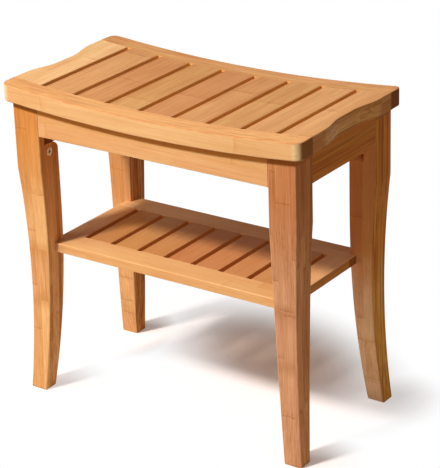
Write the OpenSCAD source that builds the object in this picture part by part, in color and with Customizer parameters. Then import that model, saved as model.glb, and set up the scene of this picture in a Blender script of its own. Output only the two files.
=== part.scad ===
// Bamboo shower stool with a dipped slatted seat, curved legs and a slatted shelf.
// Millimetres. Z points up, X runs along the seat, and the front of the stool faces -Y.
// The origin lies on the floor, under the middle of the seat.

/* [Seat] */
// Length of the seat
seat_len = 475; // [430:1:560]
// Depth of the seat, front to back
seat_dep = 252; // [235:1:300]
// Height of the seat's top at its middle, above the floor
seat_h = 445; // [415:1:500]
// How far the middle of the seat's top lies below its ends
seat_sag = 12; // [5:0.5:20]
// Thickness of the seat's boards
board_t = 24; // [22:0.5:30]
// Width of the front and rear seat rails
rail_w = 30; // [26:0.5:34]
// Width of each end board of the seat
end_board_w = 46; // [40:0.5:52]
// Number of slats in the seat
seat_slats = 7; // [5:2:9]
// Width of the drain slots in the seat
seat_slot = 7.5; // [5:0.5:10]
// Radius of the seat's corners, seen from above
corner_r = 12; // [6:0.5:18]
// Rounding of the seat's long edges
edge_r = 3; // [1:0.5:5]

/* [Grip recess] */
// Depth of the recess in each end of the seat
grip_depth = 9; // [4:0.5:14]
// Width of the recess where it meets the straight end
grip_w = 142; // [110:1:160]
// Width of the straight bottom of the recess
grip_flat = 30; // [10:1:60]

/* [Aprons] */
// Height of the aprons at the middle of the seat
apron_h = 34.5; // [28:0.5:50]
// Thickness of the aprons
apron_t = 18; // [15:0.5:20]
// How far the aprons' faces lie behind the outer faces of the legs
apron_setback = 0.5; // [0:0.5:4]

/* [Legs] */
// How far the seat reaches past the legs at each end
overhang_x = 12; // [8:0.5:20]
// How far the seat reaches past the legs at front and back
overhang_y = 8.5; // [6:0.5:16]
// Width of a leg at its top, along the seat
leg_w = 41.5; // [36:0.5:46]
// Depth of a leg at its top, front to back
leg_d = 40; // [36:0.5:46]
// Width of a foot, along the seat
foot_w = 26.5; // [20:0.5:32]
// Depth of a foot, front to back
foot_d = 22.5; // [18:0.5:30]
// How far a foot kicks out past the leg's top, along the seat
kick_x = 2.5; // [0:0.5:8]
// How far a foot kicks out past the leg's top, front to back
kick_y = 1.5; // [0:0.5:8]
// Depth of the long hollow in the legs' end faces
hollow_x = 7; // [3:0.5:12]
// Depth of the long hollow in the legs' front and rear faces
hollow_y = 6.5; // [3:0.5:12]
// Straight length of the legs' outer faces below the aprons
outer_straight = 51; // [35:1:80]
// Straight length of the faces between the left and right legs, below the aprons
inner_straight_x = 84; // [50:1:120]
// Straight length of the faces between the front and rear legs, below the aprons
inner_straight_y = 142; // [80:1:180]

/* [Shelf] */
// Height of the shelf's underside
shelf_z = 211; // [170:1:240]
// Thickness of the shelf's boards
shelf_t = 13.5; // [13:0.5:18]
// How far the shelf's long edges lie behind the tops of the legs
shelf_setback = 20; // [14:0.5:24]
// How far the shelf's ends reach in between the front and rear legs
shelf_reach = 9.5; // [5:0.5:14]
// Width of the front and rear shelf rails
shelf_rail_w = 37.5; // [34:0.5:44]
// Width of each end board of the shelf
shelf_end_w = 33; // [28:0.5:40]
// Number of slats in the shelf
shelf_slats = 7; // [5:1:8]
// Width of the drain slots in the shelf
shelf_slot = 8; // [5:0.5:10]
// Rounding of the shelf's outer edges
shelf_edge_r = 3; // [1:0.5:5]

/* [Glued joints] */
// Gap left for glue round each tenon, block and dowel
glue_gap = 0.1; // [0.05:0.05:0.3]
// Length of the seat boards' tenons
tenon_l = 12; // [8:0.5:16]
// Thickness of the seat boards' tenons
tenon_t = 8; // [6:0.5:10]
// Step from a seat board's edge to its tenon
tenon_step = 8; // [5:0.5:10]
// Length of the shelf boards' tenons
shelf_tenon_l = 9; // [6:0.5:12]
// Thickness of the shelf boards' tenons
shelf_tenon_t = 5; // [4:0.5:6]
// Step from a shelf board's edge to its tenon
shelf_tenon_step = 6; // [4:0.5:8]
// Diameter of the dowels between aprons and seat
dowel_d = 8; // [6:0.5:10]
// How deep a dowel goes into the seat
dowel_up = 12; // [8:1:14]
// How deep a dowel goes into its apron
dowel_down = 14; // [8:1:18]

/* [Corner blocks] */
// Length of a corner block along each of its two aprons
block_l = 54; // [50:1:64]
// Width of its two square ends
block_end = 24; // [20:1:30]
// How far its underside lies above the aprons' lower edges
block_lift = 5; // [2:0.5:8]
// Thickness of the leg's outer wall beside the block's tongue
cheek_t = 11; // [9:0.5:12]
// How far the leg's shoulder under the tongue lies below the aprons
shoulder_drop = 15; // [12:0.5:24]
// Rounding of the shoulder's edge
shoulder_r = 15; // [4:0.5:18]
// Diameter of the screws that hold the blocks to the seat
screw_d = 4; // [3:0.5:5]
// Diameter of their countersunk heads
screw_head_d = 8; // [6:0.5:9]
// Height of their countersunk heads
screw_head_l = 2; // [1.5:0.5:3]
// How deep the screws go into the seat
screw_bite = 13; // [8:0.5:15]
// Distance of the screws from the block's faces
screw_edge = 8; // [7:0.5:12]

/* [Cam fittings] */
// Diameter of a cam lock
cam_d = 10; // [9:0.5:12]
// Diameter of the rim round its face
cam_rim_d = 11.5; // [11:0.1:14]
// Thickness of that rim
cam_rim_t = 0.6; // [0.4:0.1:1]
// Thickness of its wall beyond the bolt's head
cam_wall = 0.5; // [0.3:0.1:1]
// Width of the cross-shaped recess in its face
drive_w = 5.5; // [4:0.5:6.5]
// Width of one arm of that recess
drive_arm = 1.4; // [1:0.1:2]
// Depth of that recess
drive_depth = 2; // [1.5:0.1:2.5]
// Distance from the joint's face to the middle of the cam lock
cam_set = 12; // [11:0.5:16]
// Diameter of a connecting bolt's thread
bolt_thread_d = 6; // [5:0.5:7]
// Length of its thread
bolt_thread_l = 12; // [8:0.5:14]
// Diameter of its shank
bolt_shank_d = 4.5; // [4:0.1:5]
// Diameter of its round head
bolt_head_d = 6; // [5.5:0.1:6.5]
// Gap all round its head
head_gap = 0.3; // [0.2:0.1:0.5]

/* [Hidden] */
$fn = 64;
// Number of segments in the large arcs
big_fn = 720;
// How far a cutting shape runs past the surface that it cuts
eps = 1;

// The seat's top is an arc whose centre lies high above the middle of the seat
half_len = seat_len / 2;
half_dep = seat_dep / 2;
top_r = (half_len * half_len + seat_sag * seat_sag) / (2 * seat_sag);
under_r = top_r + board_t;
arc_z = seat_h + top_r;
seat_end_h = seat_h + seat_sag;
seat_low = seat_h - board_t;

// Seat boards
rail_in = half_dep - rail_w;
end_board_in = half_len - end_board_w;
seat_pitch = (2 * end_board_in - seat_slot) / seat_slats;
seat_slat_w = seat_pitch - seat_slot;
tenon_top = (board_t - tenon_t) / 2;

// Each shoulder of the grip recess is drawn in short straight steps
grip_run = (grip_w - grip_flat) / 2;
grip_steps = 24;

// Distances from the middle of the stool to the outer and inner faces of the legs and feet
leg_xo = half_len - overhang_x;
leg_xi = leg_xo - leg_w;
leg_yo = half_dep - overhang_y;
leg_yi = leg_yo - leg_d;
leg_mid_y = (leg_yo + leg_yi) / 2;
foot_xo = leg_xo + kick_x;
foot_xi = foot_xo - foot_w;
foot_yo = leg_yo + kick_y;
foot_yi = foot_yo - foot_d;

// Distances to the faces of the aprons, and the heights that hang from their lower edges
apron_xo = leg_xo - apron_setback;
apron_xi = apron_xo - apron_t;
apron_yo = leg_yo - apron_setback;
apron_yi = apron_yo - apron_t;
apron_z = seat_low - apron_h;
knee_z = apron_z - outer_straight;
bend_x = apron_z - inner_straight_x;
bend_y = apron_z - inner_straight_y;
shoulder_z = apron_z - shoulder_drop;
block_z = apron_z + block_lift;
notch_y = leg_yo - cheek_t;

// The shelf is notched round the legs, which are widest at the height of its top
shelf_top = shelf_z + shelf_t;
shelf_mid = shelf_z + shelf_t / 2;
shelf_notch_x = inner_face(leg_xi, foot_xi, bend_x, shelf_top) - glue_gap;
shelf_notch_y = inner_face(leg_yi, foot_yi, bend_y, shelf_top) - glue_gap;
shelf_half_len = shelf_notch_x + shelf_reach;
shelf_half_dep = leg_yo - shelf_setback;
shelf_rail_in = shelf_half_dep - shelf_rail_w;
shelf_end_in = shelf_half_len - shelf_end_w;
shelf_pitch = (2 * shelf_end_in - shelf_slot) / shelf_slats;
shelf_slat_w = shelf_pitch - shelf_slot;

// Cam fittings: the same cam lock serves the shelf, where its bolt lies at mid thickness, and the legs
cam_axis = shelf_t / 2;
cam_cavity_d = bolt_head_d + 2 * head_gap;
cam_l = cam_axis + cam_cavity_d / 2 + cam_wall;
bolt_bore_d = bolt_head_d + 2 * head_gap;
leg_bolt_x = leg_xi + cam_axis;
shelf_bolt_y = (shelf_notch_y + shelf_half_dep) / 2;

// Screws through a corner block: one into the last slat and one into the end board
screw_spots = [
    [apron_xi - block_l + screw_edge, apron_yi - screw_edge],
    [apron_xi - screw_edge, apron_yi - block_l + screw_edge]
];
screw_l = under_z(screw_spots[0][0]) - block_z + screw_bite;

// Dowels: four in each long apron, below drain slots where no tenon is in the way, and two in each
// short one
dowel_y = (max(apron_yi, rail_in) + apron_yo) / 2;
dowel_slots = [1, floor(seat_slats / 2), ceil(seat_slats / 2), seat_slats - 1];
long_dowels = [for (i = dowel_slots, s = [-1, 1]) [seat_slat_x(i) + seat_pitch / 2, s * dowel_y]];
short_dowels = [for (sx = [-1, 1], sy = [-1, 1]) [sx * (apron_xi + apron_xo) / 2, sy * leg_yi / 2]];

// Height of the seat's underside, and of an arc that bends a leg's inner face away from its straight top
function under_z(x) = arc_z - sqrt(under_r * under_r - x * x);
function flare_r(top, foot, bend) = (bend * bend + (foot - top) * (foot - top)) / (2 * (foot - top));
function inner_face(top, foot, bend, z) = z >= bend ? top :
    top + flare_r(top, foot, bend) - sqrt(pow(flare_r(top, foot, bend), 2) - pow(bend - z, 2));

// Middles of the slats
function seat_slat_x(i) = (i - (seat_slats + 1) / 2) * seat_pitch;
function shelf_slat_x(i) = (i - (shelf_slats + 1) / 2) * shelf_pitch;

// Colours of the bamboo boards and of the metal
straw = [0.93, 0.72, 0.47];
honey = [0.90, 0.66, 0.41];
amber = [0.84, 0.57, 0.33];
russet = [0.78, 0.50, 0.28];
steel = [0.78, 0.77, 0.74];
function slat_colour(i) = i % 2 == 0 ? amber : honey;

CORNERS = [["front_left", -1, -1], ["front_right", 1, -1], ["rear_left", -1, 1], ["rear_right", 1, 1]];

// Turns a shape made for the rear right corner to the corner with the given signs
module at_corner(sx, sy) {
    mirror([sx < 0 ? 1 : 0, 0, 0])
        mirror([0, sy < 0 ? 1 : 0, 0])
            children();
}

module at_all_corners() {
    for (c = CORNERS) at_corner(c[1], c[2]) children();
}

// Rectangle from x0 to x1 and y0 to y1
module slab(x0, x1, y0, y1) {
    translate([x0, y0]) square([x1 - x0, y1 - y0]);
}

// Box from its lowest to its highest corner
module box(low, high) {
    translate(low) cube(high - low);
}

// Cross-section of a board: thickness t along X from 0, width along Y, both long edges rounded
module board_section(half, t, r) {
    slab(0, t, -half + r, half - r);
    slab(r, t - r, -half, half);
    for (u = [r, t - r], v = [r - half, half - r]) translate([u, v]) circle(r = r);
}

// Outline of the right grip recess: a straight bottom between two shoulders, each half a cosine wave
module grip_recess() {
    shoulder = [for (i = [0 : grip_steps]) [
        half_len - grip_depth * (1 + cos(180 * i / grip_steps)) / 2,
        grip_flat / 2 + grip_run * i / grip_steps
    ]];
    polygon(concat(
        [[half_len + eps, -grip_w / 2]],
        [for (i = [grip_steps : -1 : 0]) [shoulder[i][0], -shoulder[i][1]]],
        shoulder,
        [[half_len + eps, grip_w / 2]]
    ));
}

// What lies outside the rounding of the seat's rear right corner, seen from above
module corner_waste() {
    difference() {
        slab(half_len - corner_r, half_len + eps, half_dep - corner_r, half_dep + eps);
        translate([half_len - corner_r, half_dep - corner_r]) circle(r = corner_r);
    }
}

// Upright cut with the given outline right through the seat
module through_seat() {
    translate([0, 0, seat_low - eps]) linear_extrude(seat_end_h - seat_low + 2 * eps) children();
}

// The whole seat as a section swept along the arc, a little longer than the seat
module seat_sweep() {
    half_sweep = asin(half_len / top_r) + eps;
    translate([0, 0, arc_z]) rotate([-90, 0, 0]) rotate([0, 0, 90 - half_sweep])
        rotate_extrude(angle = 2 * half_sweep, $fn = big_fn)
            translate([top_r, 0]) board_section(half_dep, board_t, edge_r);
}

// The part of the seat between x0 and x1 and between y0 and y1
module seat_board(x0, x1, y0, y1) {
    intersection() {
        seat_sweep();
        box([x0, y0, seat_low - eps], [x1, y1, seat_end_h + eps]);
    }
}

// Tenons at both ends of the seat board between x0 and x1; grow makes the mortises for them
module seat_tenons(x0, x1, grow = 0) {
    reach = rail_in + tenon_l + grow;
    translate([0, reach, 0]) rotate([90, 0, 0]) linear_extrude(2 * reach)
        intersection() {
            translate([0, arc_z]) difference() {
                circle(r = top_r + tenon_top + tenon_t + grow, $fn = big_fn);
                circle(r = top_r + tenon_top - grow, $fn = big_fn);
            }
            slab(x0 + tenon_step - grow, x1 - tenon_step + grow, seat_low, seat_end_h);
        }
}

module end_board_tenons(grow = 0) {
    seat_tenons(end_board_in, half_len - grip_depth, grow);
}

// Rear rail of the seat with its mortises
module seat_rail() {
    difference() {
        seat_board(-half_len, half_len, rail_in, half_dep + eps);
        for (s = [0, 1]) mirror([s, 0, 0]) through_seat() corner_waste();
        for (i = [1 : seat_slats])
            seat_tenons(seat_slat_x(i) - seat_slat_w / 2, seat_slat_x(i) + seat_slat_w / 2, glue_gap);
        for (s = [0, 1]) mirror([s, 0, 0]) end_board_tenons(glue_gap);
        dowel_holes(long_dowels);
    }
}

module seat_rear_rail() {
    color(straw) seat_rail();
}

module seat_front_rail() {
    color(straw) mirror([0, 1, 0]) seat_rail();
}

// Right end board of the seat with its tenons
module seat_end_board() {
    difference() {
        union() {
            seat_board(end_board_in, half_len, -rail_in, rail_in);
            end_board_tenons();
        }
        through_seat() grip_recess();
        dowel_holes(short_dowels);
        screw_holes();
    }
}

module seat_end_board_right() {
    color(honey) seat_end_board();
}

module seat_end_board_left() {
    color(honey) mirror([1, 0, 0]) seat_end_board();
}

module seat_slat(i) {
    x0 = seat_slat_x(i) - seat_slat_w / 2;
    x1 = seat_slat_x(i) + seat_slat_w / 2;
    color(slat_colour(i)) difference() {
        union() {
            seat_board(x0, x1, -rail_in, rail_in);
            seat_tenons(x0, x1);
        }
        screw_holes();
    }
}

// Everything above the curved underside of the seat
module above_underside() {
    translate([0, half_dep, arc_z]) rotate([90, 0, 0]) cylinder(r = under_r, h = seat_dep, $fn = big_fn);
}

// Rear apron, whose upper edge follows the underside of the seat
module long_apron() {
    color(honey) difference() {
        box([glue_gap - leg_xi, apron_yi, apron_z], [leg_xi - glue_gap, apron_yo, seat_end_h]);
        above_underside();
        dowel_holes(long_dowels);
    }
}

module rear_apron() {
    long_apron();
}

module front_apron() {
    mirror([0, 1, 0]) long_apron();
}

// Right apron
module short_apron() {
    color(russet) difference() {
        box([apron_xi, glue_gap - leg_yi, apron_z], [apron_xo, leg_yi - glue_gap, seat_end_h]);
        above_underside();
        dowel_holes(short_dowels);
    }
}

module right_apron() {
    short_apron();
}

module left_apron() {
    mirror([1, 0, 0]) short_apron();
}

// A leg seen square on, from the floor up, with the middle of the stool at the left.
// Its outer face is straight down to the knee and hollow below it. Its inner face flares to the foot.
module leg_outline(out_top, in_top, out_foot, in_foot, hollow, bend) {
    in_r = flare_r(in_top, in_foot, bend);
    half_chord = norm([out_foot - out_top, knee_z]) / 2;
    out_r = (half_chord * half_chord + hollow * hollow) / (2 * hollow);
    outward = [knee_z, out_foot - out_top] / (2 * half_chord);
    out_centre = [(out_top + out_foot) / 2, knee_z / 2] + outward * (out_r - hollow);
    wide = max(out_top, out_foot) + eps;
    difference() {
        union() {
            slab(in_top, wide, bend, seat_end_h);
            intersection() {
                translate([in_top + in_r, bend]) circle(r = in_r, $fn = big_fn);
                slab(in_top, wide, 0, bend);
            }
        }
        polygon([
            [out_top, seat_end_h + eps], [out_top, knee_z], [out_foot, 0], [out_foot, -eps],
            [wide + eps, -eps], [wide + eps, seat_end_h + eps]
        ]);
        translate(out_centre) circle(r = out_r, $fn = big_fn);
    }
}

// Rear right leg: its two outlines cross, and its top is fitted to the seat and to the corner block
module leg_solid() {
    difference() {
        intersection() {
            translate([0, foot_yo + eps, 0]) rotate([90, 0, 0]) linear_extrude(foot_yo + eps)
                leg_outline(leg_xo, leg_xi, foot_xo, foot_xi, hollow_x, bend_x);
            rotate([90, 0, 90]) linear_extrude(foot_xo + eps)
                leg_outline(leg_yo, leg_yi, foot_yo, foot_yi, hollow_y, bend_y);
        }
        above_underside();
        box([leg_xi - eps, leg_yi - eps, shoulder_z], [apron_xi, notch_y, seat_end_h]);
        shoulder_rounding();
        leg_cam_place() cam_bore();
        leg_bolt_place() bolt_bore();
        shelf_bolt_place() thread_hole();
    }
}

// Rounds the edge of the leg's shoulder that faces the middle of the stool
module shoulder_rounding() {
    translate([leg_xi - eps, 0, 0]) rotate([90, 0, 90]) linear_extrude(apron_xi - leg_xi + eps)
        difference() {
            slab(leg_yi - eps, leg_yi + shoulder_r, shoulder_z - shoulder_r, shoulder_z + eps);
            translate([leg_yi + shoulder_r, shoulder_z - shoulder_r]) circle(r = shoulder_r);
        }
}

module leg(sx, sy) {
    color(amber) at_corner(sx, sy) leg_solid();
}

// Rear right corner block, whose tongue fills the notch in the leg down to the shoulder
module corner_block_solid() {
    difference() {
        union() {
            translate([0, 0, block_z]) linear_extrude(seat_end_h - block_z)
                polygon([
                    [apron_xi, leg_yi - glue_gap], [apron_xi, apron_yi - block_l],
                    [apron_xi - block_end, apron_yi - block_l], [apron_xi - block_l, apron_yi - block_end],
                    [apron_xi - block_l, apron_yi], [apron_xi - glue_gap, apron_yi],
                    [apron_xi - glue_gap, leg_yi - glue_gap]
                ]);
            box([leg_xi - glue_gap, leg_yi - glue_gap, shoulder_z],
                [apron_xi - glue_gap, notch_y - glue_gap, seat_end_h]);
        }
        above_underside();
        screw_holes();
        leg_bolt_place() thread_hole();
    }
}

module corner_block(sx, sy) {
    color(russet) at_corner(sx, sy) corner_block_solid();
}

// Countersunk screws, driven from the undersides of the corner blocks up into the seat
module corner_block_screws() {
    color(steel) at_all_corners() for (p = screw_spots) translate([p[0], p[1], block_z]) {
        cylinder(d1 = screw_head_d, d2 = screw_d, h = screw_head_l);
        cylinder(d = screw_d, h = screw_l);
    }
}

module screw_holes() {
    slope = (screw_head_d - screw_d) / screw_head_l;
    wide = screw_head_d + glue_gap + eps * slope;
    narrow = screw_d + glue_gap;
    at_all_corners() for (p = screw_spots) translate([p[0], p[1], block_z - eps]) {
        cylinder(d1 = wide, d2 = narrow, h = screw_head_l + eps);
        cylinder(d = narrow, h = screw_l + eps + glue_gap);
    }
}

// Dowels that stand half in the aprons and half in the seat
module apron_dowels() {
    color(straw) for (p = concat(long_dowels, short_dowels))
        translate([p[0], p[1], under_z(p[0]) - dowel_down])
            cylinder(d = dowel_d, h = dowel_down + dowel_up);
}

module dowel_holes(spots) {
    for (p = spots)
        translate([p[0], p[1], under_z(p[0]) - dowel_down - glue_gap])
            cylinder(d = dowel_d + glue_gap, h = dowel_down + dowel_up + 2 * glue_gap);
}

// Where a leg's cam lock goes: in the face between the left and right legs, its bolt coming from above
module leg_cam_place() {
    translate([leg_xi, leg_mid_y, shoulder_z - cam_set]) rotate([0, 90, 0]) rotate([0, 0, 180]) children();
}

// Where a leg's connecting bolt goes: thread up in the corner block, head down in the cam lock
module leg_bolt_place() {
    translate([leg_bolt_x, leg_mid_y, shoulder_z]) children();
}

// Where a shelf's cam lock goes: in the shelf's underside, its bolt coming from the leg
module shelf_cam_place() {
    translate([shelf_notch_x - cam_set, shelf_bolt_y, shelf_z]) children();
}

// Where a shelf's connecting bolt goes: thread in the leg, head in the cam lock
module shelf_bolt_place() {
    translate([shelf_notch_x, shelf_bolt_y, shelf_mid]) rotate([0, 90, 0]) children();
}

// A cam lock with its face at z = 0; its bolt comes in from the side of +X
module cam_lock() {
    drive = [drive_w, drive_arm] / 2;
    difference() {
        union() {
            cylinder(d = cam_d, h = cam_l);
            translate([0, 0, -cam_rim_t]) cylinder(d = cam_rim_d, h = cam_rim_t);
        }
        translate([0, 0, cam_axis]) {
            sphere(d = cam_cavity_d);
            rotate([0, 90, 0]) cylinder(d = cam_cavity_d, h = cam_d);
        }
        for (a = [0, 90]) rotate([0, 0, a])
            box([-drive[0], -drive[1], -cam_rim_t - eps], [drive[0], drive[1], drive_depth - cam_rim_t]);
    }
}

module cam_bore() {
    translate([0, 0, -eps]) cylinder(d = cam_d + 2 * glue_gap, h = cam_l + eps + glue_gap);
}

// A connecting bolt: its thread above z = 0, then its shank and its round head below
module connecting_bolt() {
    cylinder(d = bolt_thread_d, h = bolt_thread_l);
    translate([0, 0, -cam_set]) {
        cylinder(d = bolt_shank_d, h = cam_set);
        sphere(d = bolt_head_d);
    }
}

// The hole that the head passes on its way into the cam lock
module bolt_bore() {
    translate([0, 0, -cam_set]) cylinder(d = bolt_bore_d, h = cam_set + eps);
}

module thread_hole() {
    translate([0, 0, -eps]) cylinder(d = bolt_thread_d + glue_gap, h = bolt_thread_l + 2 * eps);
}

module leg_cam_locks() {
    color(steel) at_all_corners() leg_cam_place() cam_lock();
}

module leg_connecting_bolts() {
    color(steel) at_all_corners() leg_bolt_place() connecting_bolt();
}

module shelf_cam_locks() {
    color(steel) at_all_corners() shelf_cam_place() cam_lock();
}

module shelf_connecting_bolts() {
    color(steel) at_all_corners() shelf_bolt_place() connecting_bolt();
}

// The whole shelf in one piece, with all its outer edges rounded
module shelf_blank() {
    intersection() {
        translate([shelf_half_len, 0, shelf_z]) rotate([0, -90, 0]) linear_extrude(2 * shelf_half_len)
            board_section(shelf_half_dep, shelf_t, shelf_edge_r);
        translate([0, -shelf_half_dep, shelf_z]) rotate([0, -90, -90]) linear_extrude(2 * shelf_half_dep)
            board_section(shelf_half_len, shelf_t, shelf_edge_r);
    }
}

// The part of the shelf between x0 and x1 and between y0 and y1
module shelf_board(x0, x1, y0, y1) {
    intersection() {
        shelf_blank();
        box([x0, y0, shelf_z], [x1, y1, shelf_top]);
    }
}

// Tenons at both ends of the shelf board between x0 and x1; grow makes the mortises for them
module shelf_tenons(x0, x1, grow = 0) {
    half_w = (x1 - x0) / 2 - shelf_tenon_step;
    reach = [half_w, shelf_rail_in + shelf_tenon_l, shelf_tenon_t / 2] + grow * [1, 1, 1];
    translate([(x0 + x1) / 2, 0, shelf_mid]) box(-reach, reach);
}

module shelf_end_tenons(grow = 0) {
    shelf_tenons(shelf_end_in, shelf_half_len, grow);
}

// Rear rail of the shelf, notched round the legs at both ends
module shelf_rail() {
    difference() {
        shelf_board(-shelf_half_len, shelf_half_len, shelf_rail_in, shelf_half_dep);
        for (i = [1 : shelf_slats])
            shelf_tenons(shelf_slat_x(i) - shelf_slat_w / 2, shelf_slat_x(i) + shelf_slat_w / 2, glue_gap);
        for (s = [0, 1]) mirror([s, 0, 0]) {
            shelf_end_tenons(glue_gap);
            box([shelf_notch_x, shelf_notch_y, shelf_z - eps], [leg_xo, leg_yo, shelf_top + eps]);
            shelf_cam_place() cam_bore();
            shelf_bolt_place() bolt_bore();
        }
    }
}

module shelf_rear_rail() {
    color(straw) shelf_rail();
}

module shelf_front_rail() {
    color(straw) mirror([0, 1, 0]) shelf_rail();
}

// Right end board of the shelf
module shelf_end_board() {
    shelf_board(shelf_end_in, shelf_half_len, -shelf_rail_in, shelf_rail_in);
    shelf_end_tenons();
}

module shelf_end_board_right() {
    color(honey) shelf_end_board();
}

module shelf_end_board_left() {
    color(honey) mirror([1, 0, 0]) shelf_end_board();
}

module shelf_slat(i) {
    x0 = shelf_slat_x(i) - shelf_slat_w / 2;
    x1 = shelf_slat_x(i) + shelf_slat_w / 2;
    color(slat_colour(i)) union() {
        shelf_board(x0, x1, -shelf_rail_in, shelf_rail_in);
        shelf_tenons(x0, x1);
    }
}

seat_front_rail();
seat_rear_rail();
seat_end_board_left();
seat_end_board_right();
for (i = [1 : seat_slats]) seat_slat(i);
front_apron();
rear_apron();
left_apron();
right_apron();
for (c = CORNERS) corner_block(c[1], c[2]);
for (c = CORNERS) leg(c[1], c[2]);
shelf_front_rail();
shelf_rear_rail();
shelf_end_board_left();
shelf_end_board_right();
for (i = [1 : shelf_slats]) shelf_slat(i);
leg_cam_locks();
leg_connecting_bolts();
shelf_cam_locks();
shelf_connecting_bolts();
corner_block_screws();
apron_dowels();
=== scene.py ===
# Bamboo shower stool: every board sawn, rounded and lacquered round the fixed frame.
# Metres, Z up. The front of the stool faces -Y, and X runs along the seat.
import itertools
import math

import bmesh
import bpy
from mathutils import Matrix, Vector


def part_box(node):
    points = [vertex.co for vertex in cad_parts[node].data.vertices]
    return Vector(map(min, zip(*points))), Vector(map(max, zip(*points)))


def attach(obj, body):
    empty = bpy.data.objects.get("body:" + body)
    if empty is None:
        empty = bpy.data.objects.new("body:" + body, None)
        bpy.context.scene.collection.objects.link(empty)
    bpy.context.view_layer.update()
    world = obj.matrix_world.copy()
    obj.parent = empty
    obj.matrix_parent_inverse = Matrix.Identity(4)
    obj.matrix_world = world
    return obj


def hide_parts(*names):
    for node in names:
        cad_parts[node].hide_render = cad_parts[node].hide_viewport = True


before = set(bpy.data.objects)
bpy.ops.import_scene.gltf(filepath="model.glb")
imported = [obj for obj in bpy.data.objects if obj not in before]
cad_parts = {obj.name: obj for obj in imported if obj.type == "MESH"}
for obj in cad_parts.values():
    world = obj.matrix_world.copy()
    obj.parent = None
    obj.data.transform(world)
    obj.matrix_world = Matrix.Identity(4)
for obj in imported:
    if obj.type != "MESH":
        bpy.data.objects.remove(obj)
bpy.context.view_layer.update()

MM = 0.001

# Sizes that the frame's boxes don't tell: the seat, its rounded corners and its grip recesses
SEAT_THICK = 24 * MM
SEAT_SLATS = 7
SHELF_SLATS = 7
CORNER_R = 12 * MM
GRIP_DEPTH = 9 * MM
GRIP_WIDTH = 142 * MM
GRIP_FLAT = 30 * MM

# Legs: how far a foot stands out beyond the leg's top, a foot's own size, the hollows of the outer faces, how
# far below the aprons the faces stay straight, the wood left beside the notch for the corner block's tongue,
# and the rounding of the shoulder under the tongue
KICK_X = 2.5 * MM
KICK_Y = 1.5 * MM
FOOT_WIDTH = 26.5 * MM
FOOT_DEPTH = 22.5 * MM
HOLLOW_X = 7 * MM
HOLLOW_Y = 6.5 * MM
OUTER_STRAIGHT = 51 * MM
INNER_STRAIGHT_X = 84 * MM
INNER_STRAIGHT_Y = 142 * MM
CHEEK = 11 * MM
SHOULDER_R = 15 * MM

# Bores for the cam locks and bolts
GLUE_GAP = 0.1 * MM
CAM_D = 10 * MM
CAM_BORE_D = CAM_D + 2 * GLUE_GAP
CAM_SET = 12 * MM
BOLT_BORE_D = 6.6 * MM
THREAD_HOLE_D = 6.1 * MM
THREAD_HOLE_L = 13 * MM

# Roundings left by the router and the sandpaper
EDGE_R = 2.2 * MM
END_R = 1 * MM
SLOT_R = 1 * MM
JOINT_R = 0.25 * MM
APRON_R = 1.5 * MM
LEG_R = 1.8 * MM
FOOT_R = 1.5 * MM
SHELF_R = 2 * MM

# How finely curves are drawn
ARRIS_STEPS = 4
CORNER_STEPS = 8
STATION = 10 * MM
GRIP_STATION = STATION / 3
LEG_RING = 9 * MM
FOOT_TURNS = (math.pi / 2, math.pi / 4)
BORE_SIDES = 48
SMOOTH_ANGLE = math.radians(40)
NEARLY_STRAIGHT = 0.2

# Where a board's rounding starts to take its painted edge colour, a painted highlight or shade, how widely a
# leg's does, over what length a rail's rounding changes at the end of a slot, and how far a cutting tool
# stands out of the wood
EDGE_PAINT_FROM = math.radians(2)
EDGE_PAINT_WIDTH = 1.5
FADE = 0.4 * MM
PAST = 1 * MM

# Places read from the frame
seat_rail_low, seat_rail_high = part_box("seat_rear_rail")
half_len = seat_rail_high.x
half_dep = seat_rail_high.y
rail_in = seat_rail_low.y
seat_low = seat_rail_low.z
seat_mid = seat_low + SEAT_THICK
sag = seat_rail_high.z - seat_mid
top_r = (half_len ** 2 + sag ** 2) / (2 * sag)
arc_z = seat_mid + top_r
end_board_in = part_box("seat_end_board_right")[0].x

leg_low, leg_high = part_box("leg_rear_right")
leg_xi, leg_yi = leg_low.x, leg_low.y
foot_xo, foot_yo = leg_high.x, leg_high.y
leg_xo, leg_yo = foot_xo - KICK_X, foot_yo - KICK_Y
foot_xi, foot_yi = foot_xo - FOOT_WIDTH, foot_yo - FOOT_DEPTH

apron_low, apron_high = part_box("rear_apron")
apron_z, apron_yo, apron_yi = apron_low.z, apron_high.y, apron_low.y
apron_len = apron_high.x
side_apron_low, side_apron_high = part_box("right_apron")
apron_xi, apron_xo = side_apron_low.x, side_apron_high.x
knee_z = apron_z - OUTER_STRAIGHT
bend_x = apron_z - INNER_STRAIGHT_X
bend_y = apron_z - INNER_STRAIGHT_Y
shoulder_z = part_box("corner_block_rear_right")[0].z

shelf_low, shelf_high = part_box("shelf_rear_rail")
shelf_half_len, shelf_half_dep, shelf_rail_in = shelf_high.x, shelf_high.y, shelf_low.y
shelf_z, shelf_top = shelf_low.z, shelf_high.z
shelf_thick = shelf_top - shelf_z
shelf_end_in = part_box("shelf_end_board_right")[0].x


def seat_z(x, depth):
    """Height of the seat's boards at x, depth below their top."""
    return arc_z - math.sqrt((top_r + depth) ** 2 - x * x)


def under_z(x):
    """Height of the seat's underside at x."""
    return seat_z(x, SEAT_THICK)


# Faces of the legs, as distances from the middle of the stool
def flare_r(top, foot, bend):
    """Radius of an inner face that leaves the vertical at height bend and reaches foot at the floor."""
    return (bend ** 2 + (foot - top) ** 2) / (2 * (foot - top))


def inner_face(top, foot, bend, z):
    """Straight above height bend, and flaring out below it."""
    if z >= bend:
        return top
    r = flare_r(top, foot, bend)
    return top + r - math.sqrt(r * r - (bend - z) ** 2)


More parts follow.
